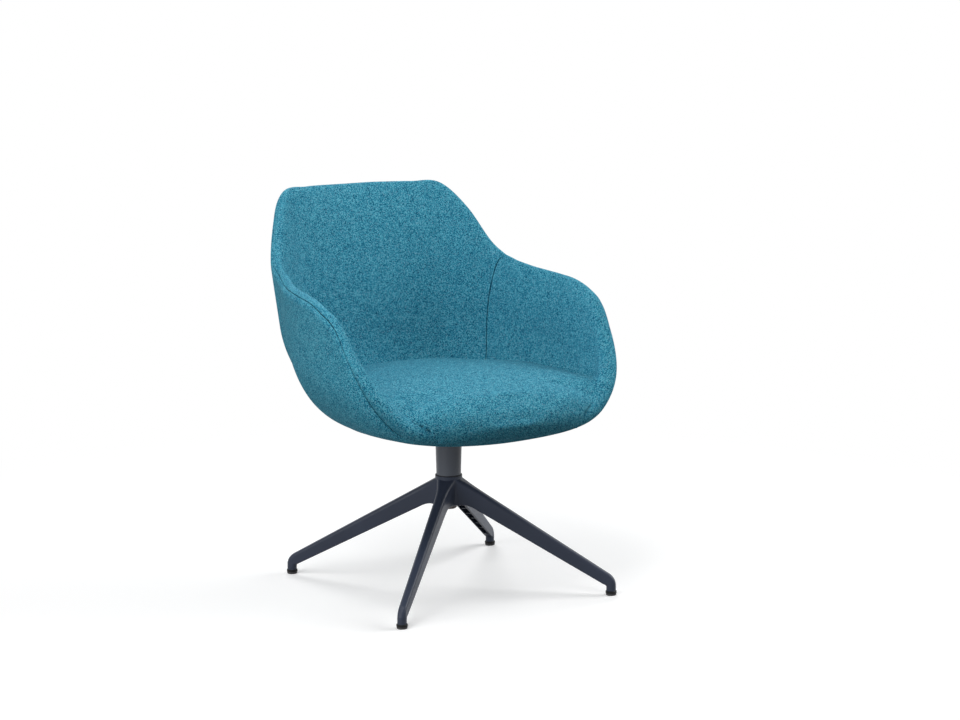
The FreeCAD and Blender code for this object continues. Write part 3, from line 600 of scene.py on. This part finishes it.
# Seat cushion in mm, angles in degrees from the middle of the back
seat = {
    "crownHeight": 437.0, "crownPower": 2.2,
    "sideEdge": 420.0, "rearEdge": 410.0, "noseEdge": 418.0,      # heights of the crown's edge
    "noseHeight": 372.0,     # foremost line of the nose
    "front": 260.0, "side": 282.0, "planPower": 2.7,              # that line in plan
    "rearAngles": (40, 75), "noseAngles": (112, 140),
    "sideRound": 16.0, "frontRound": 62.0,
    "sideContact": 411.0, "rearContact": 399.0,      # heights at which it leaves the pads
    "armDrop": 4.0, "armAngles": (95, 125),          # a little lower beside the arms' fronts
    "nosePath": -8.0,        # how far it comes over the tub's low rim in front
    "gap": 0.7,              # room left to the tub and the pads
    "searchEnd": 60.0, "halvings": 40,               # search for the contact, in innerPathAt
    "columns": 240, "crownRows": 60, "roundRows": 22, "tuckRows": 10, "underRows": 46,
}


def innerPathAt(angle, height):
    # path on the inner skin at which it comes down to a height, by halving the stretch between
    # the top of the rim and a place short of the opening
    low = np.full(angle.shape, np.pi * tub["rimHalf"] * 0.5)
    high = innerLength(ribAt(angle)) - seat["searchEnd"]
    for step in range(seat["halvings"]):
        middle = (low + high) / 2
        above = skin(angle, middle, -seat["gap"])[..., 2] > height
        low = np.where(above, middle, low)
        high = np.where(above, high, middle)
    return (low + high) / 2


def makeCushion():
    # closed crowned form in polar columns: crown, rounded shoulder or nose, then down along the
    # inside of the tub (over its low rim in front) and back under the middle
    s = seat
    angle = np.linspace(-180, 180, s["columns"], endpoint=False)
    a = np.abs(angle)
    front = ease(a, *s["noseAngles"])                       # 0 beside and behind, 1 at the nose
    rear = 1 - ease(a, *s["rearAngles"])
    leaves = s["sideContact"] + (s["rearContact"] - s["sideContact"]) * rear
    leaves = leaves - s["armDrop"] * ease(a, *s["armAngles"])
    wallPath = innerPathAt(angle, leaves)
    meet = wallPath + (s["nosePath"] - wallPath) * front
    total = innerLength(ribAt(angle))
    share = np.linspace(0, 1, s["underRows"])[:, None]
    under = skin(angle[None, :], meet + share * (total - meet), -s["gap"])
    contactReach = np.hypot(under[0, :, 0], under[0, :, 1])
    contactHeight = under[0, :, 2]
    # nose line in plan: a squared ellipse, whose reach to the power -p is the sum of
    # cos / front and sin / side, each to the power p
    cosine = np.cos(np.radians(180 - a))
    sine = np.sin(np.radians(180 - a))
    p = s["planPower"]
    plan = (np.abs(cosine / s["front"]) ** p + np.abs(sine / s["side"]) ** p) ** (-1 / p)
    lineReach = contactReach + (plan - contactReach) * front
    lineHeight = contactHeight + (s["noseHeight"] - contactHeight) * front
    crownEdge = s["sideEdge"] + (s["rearEdge"] - s["sideEdge"]) * rear
    crownEdge = crownEdge + (s["noseEdge"] - crownEdge) * front
    run = s["sideRound"] + (s["frontRound"] - s["sideRound"]) * front
    shoulderReach = lineReach - run
    # crown: the height falls with a power of the share of the reach
    t = np.linspace(0, 1, s["crownRows"])[:, None]
    crownReach = t * shoulderReach
    crownHeight = s["crownHeight"] - (s["crownHeight"] - crownEdge) * t ** s["crownPower"]
    # shoulder: a quarter ellipse down to the line, then another back under it to the contact
    turn = np.linspace(0, np.pi / 2, s["roundRows"])[1:, None]
    roundReach = shoulderReach + run * np.sin(turn)
    roundHeight = lineHeight + (crownEdge - lineHeight) * np.cos(turn)
    tuck = np.linspace(0, np.pi / 2, s["tuckRows"])[1:, None]
    tuckReach = contactReach + (lineReach - contactReach) * np.cos(tuck)
    tuckHeight = lineHeight + (contactHeight - lineHeight) * np.sin(tuck)
    reach = np.concatenate([crownReach, roundReach, tuckReach])
    height = np.concatenate([crownHeight, roundHeight, tuckHeight])
    upper = aroundAxis(reach, height, angle[None, :])
    low = tub["floorHeight"] + 2 * tub["rimHalf"] + s["gap"]
    middle = aroundAxis(0.0, low, angle[None, :])
    rows = np.concatenate([upper, under[1:], middle])
    quads = gridQuads(rows.shape[0], rows.shape[1], False, True)
    return meshObject("seatCushion", rows.reshape(-1, 3), quads, weld=0.01)


def dropSpecks(mesh):
    # a voxel remesh can leave specks beside a thin edge; only the largest island stays.  Each
    # vertex takes the lowest number that it can reach along edges, in rounds until none changes.
    ends = np.empty(len(mesh.edges) * 2, dtype=np.int32)
    mesh.edges.foreach_get("vertices", ends)
    first, second = ends.reshape(-1, 2).T
    island = np.arange(len(mesh.vertices))
    before = None
    while before is None or (island != before).any():
        before = island.copy()
        low = np.minimum(island[first], island[second])
        np.minimum.at(island, first, low)
        np.minimum.at(island, second, low)
        island = island[island]
    specks = np.flatnonzero(island != np.bincount(island).argmax())
    work = bmesh.new()
    work.from_mesh(mesh)
    work.verts.ensure_lookup_table()
    bmesh.ops.delete(work, geom=[work.verts[k] for k in specks], context="VERTS")
    work.to_mesh(mesh)
    work.free()
    print("specks dropped: %d points" % len(specks))


swell = {
    "voxelMm": 5.4, "pressure": 4.0, "capMm": 5.0, "frames": 20,
    "stretch": 25, "bending": 6,         # the cover's stiffness
    "sideTilt": 0.12, "underTilt": -0.3,     # faces whose normal's z is lower than this are held
    "noseAt": -0.215,        # in front of this y, in metres, only the underside is held
    "smoothing": 0.5, "smoothTimes": 3,
}


def vertexArray(collection, attribute):
    # one row of three numbers per vertex
    values = np.empty(len(collection) * 3)
    collection.foreach_get(attribute, values)
    return values.reshape(-1, 3)


def inflate(piece):
    # voxel remesh, then cloth with inner pressure; points that bear on the tub are pinned and no
    # point may move further than the cap
    s = swell
    bpy.context.view_layer.objects.active = piece
    piece.select_set(True)
    remesh = piece.modifiers.new("remesh", "REMESH")
    remesh.mode = "VOXEL"
    remesh.voxel_size = s["voxelMm"] * mm
    bpy.ops.object.modifier_apply(modifier=remesh.name)
    mesh = piece.data
    dropSpecks(mesh)
    rest = vertexArray(mesh.vertices, "co")
    tilt = vertexArray(mesh.vertex_normals, "vector")[:, 2]
    beside = (tilt < s["sideTilt"]) & (rest[:, 1] > s["noseAt"])
    held = np.flatnonzero(beside | (tilt < s["underTilt"]))
    group = piece.vertex_groups.new(name="bearing")
    group.add(held.tolist(), 1.0, "REPLACE")
    cloth = piece.modifiers.new("cloth", "CLOTH")
    cloth.settings.use_pressure = True
    cloth.settings.uniform_pressure_force = s["pressure"]
    cloth.settings.effector_weights.gravity = 0
    cloth.settings.vertex_group_mass = group.name
    cloth.settings.tension_stiffness = s["stretch"]
    cloth.settings.compression_stiffness = s["stretch"]
    cloth.settings.bending_stiffness = s["bending"]
    cloth.point_cache.frame_start = 1
    cloth.point_cache.frame_end = s["frames"]
    scene = bpy.context.scene
    for step in range(1, s["frames"] + 1):
        scene.frame_set(step)
    shaped = piece.evaluated_get(bpy.context.evaluated_depsgraph_get()).to_mesh()
    move = vertexArray(shaped.vertices, "co") - rest
    far = np.linalg.norm(move, axis=1)
    cap = s["capMm"] * mm
    move *= np.minimum(1, cap / np.maximum(far, 1e-9))[:, None]
    piece.modifiers.remove(cloth)
    scene.frame_set(1)
    mesh.vertices.foreach_set("co", (rest + move).ravel())
    mesh.update()
    print("cushion inflated, largest move before the cap %.1f mm" % (far.max() / mm))


cushion = makeCushion()
inflate(cushion)
smooth = cushion.modifiers.new("smooth", "SMOOTH")
smooth.factor = swell["smoothing"]
smooth.iterations = swell["smoothTimes"]
finer = cushion.modifiers.new("finer", "SUBSURF")
finer.levels = 1
finer.render_levels = 1
smoothShade(cushion.data)
cushion.data.materials.append(seatFelt)
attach(cushion, "seat")
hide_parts("seat_cushion")
print("seat cushion made")


# Photograph's camera: place in metres, pitch down from level and heading from +Y in degrees
view = {
    "lens": 89.04, "sensor": 36.0, "far": 100.0,
    "place": (-2.2742, -3.9995, 1.2362), "pitch": 9.6588, "heading": -30.3966,
}
camera = bpy.data.cameras.new("camera")
camera.lens = view["lens"]
camera.sensor_width = view["sensor"]
camera.clip_end = view["far"]
cameraObject = bpy.data.objects.new("camera", camera)
cameraObject.location = view["place"]
cameraObject.rotation_euler = np.radians((90 - view["pitch"], 0, view["heading"]))
bpy.context.scene.collection.objects.link(cameraObject)
bpy.context.scene.camera = cameraObject
print("camera placed")

studio = {
    "world": 0.22, "floorHalf": 30000.0, "pale": "F6F6F6", "bounce": "6E6E6E",
    "fill": 0.18, "fadeStart": 0.55, "fadeEnd": 1.6,      # metres from the swivel axis
    "lamps": (     # place, aim, size in m and power in W
        ((2.8, -0.8, 2.2), (0.0, 0.0, 0.45), 2.4, 72.0),
        ((-3.1, -0.9, 1.1), (0.0, 0.0, 0.40), 2.2, 46.0),
        ((-0.9, -0.5, 2.3), (0.0, 0.1, 0.60), 1.4, 21.0),
        ((0.8, 2.6, 2.4), (0.0, 0.0, 0.45), 1.8, 42.0),
    ),
}
white = (1, 1, 1, 1)


def directSight(tree):
    # 1 where the camera looks, also in a gloss or through glass; 0 for the light that falls on
    # the chair
    ray = addNode(tree, "ShaderNodeLightPath")
    sight = ray.outputs["Is Camera Ray"]
    for kind in ("Is Glossy Ray", "Is Transmission Ray"):
        sight = addNode(tree, "ShaderNodeMath", [(0, sight), (1, ray.outputs[kind])],
                        operation="MAXIMUM").outputs[0]
    return sight


def mixShaders(tree, share, first, second):
    # first shader where the share is 0, second where it is 1
    links = [(0, share), (1, first.outputs[0]), (2, second.outputs[0])]
    return addNode(tree, "ShaderNodeMixShader", links)


def makeFloor():
    # pale floor with a little white of its own, so that only the shadow is grey; further out it
    # turns to the white of the backdrop, and what bounces light on the chair is a plain grey
    size = studio["floorHalf"]
    points = np.array([(-size, -size, 0), (size, -size, 0), (size, size, 0), (-size, size, 0)])
    floor = meshObject("floor", points, [[0, 1, 2, 3]])
    material = bpy.data.materials.new("paleFloor")
    tree = emptyTree(material)
    place = addNode(tree, "ShaderNodeTexCoord").outputs["Object"]
    reach = addNode(tree, "ShaderNodeVectorMath", [(0, place)], operation="LENGTH")
    fade = addNode(tree, "ShaderNodeMapRange", [("Value", reach.outputs["Value"])],
                   interpolation_type="SMOOTHSTEP", From_Min=studio["fadeStart"],
                   From_Max=studio["fadeEnd"], To_Min=0.0, To_Max=1.0).outputs[0]
    bounce = addNode(tree, "ShaderNodeBsdfDiffuse", Color=linearColour(studio["bounce"]))
    pale = addNode(tree, "ShaderNodeBsdfDiffuse", Color=linearColour(studio["pale"]))
    fill = addNode(tree, "ShaderNodeEmission", Color=white, Strength=studio["fill"])
    near = addNode(tree, "ShaderNodeAddShader", [(0, pale.outputs[0]), (1, fill.outputs[0])])
    backdrop = addNode(tree, "ShaderNodeEmission", Color=white, Strength=1.0)
    seen = mixShaders(tree, fade, near, backdrop)
    both = mixShaders(tree, directSight(tree), bounce, seen)
    addNode(tree, "ShaderNodeOutputMaterial", [("Surface", both.outputs[0])])
    floor.data.materials.append(material)


def makeWorld():
    # plain light from all round; the camera, gloss and glass see white
    world = bpy.data.worlds.new("studio")
    bpy.context.scene.world = world
    tree = emptyTree(world)
    light = addNode(tree, "ShaderNodeBackground", Color=white, Strength=studio["world"])
    backdrop = addNode(tree, "ShaderNodeBackground", Color=white, Strength=1.0)
    both = mixShaders(tree, directSight(tree), light, backdrop)
    addNode(tree, "ShaderNodeOutputWorld", [("Surface", both.outputs[0])])


def makeLamps():
    # round soft boxes that look from their place to their aim
    for number, (place, aim, size, power) in enumerate(studio["lamps"]):
        lamp = bpy.data.lights.new("softbox%d" % number, "AREA")
        lamp.shape = "DISK"
        lamp.size = size
        lamp.energy = power
        holder = bpy.data.objects.new("softbox%d" % number, lamp)
        holder.location = place
        holder.rotation_euler = (Vector(aim) - Vector(place)).to_track_quat("-Z", "Y").to_euler()
        bpy.context.scene.collection.objects.link(holder)


makeFloor()
makeWorld()
makeLamps()
bpy.context.scene.view_settings.view_transform = "Standard"
print("studio ready")
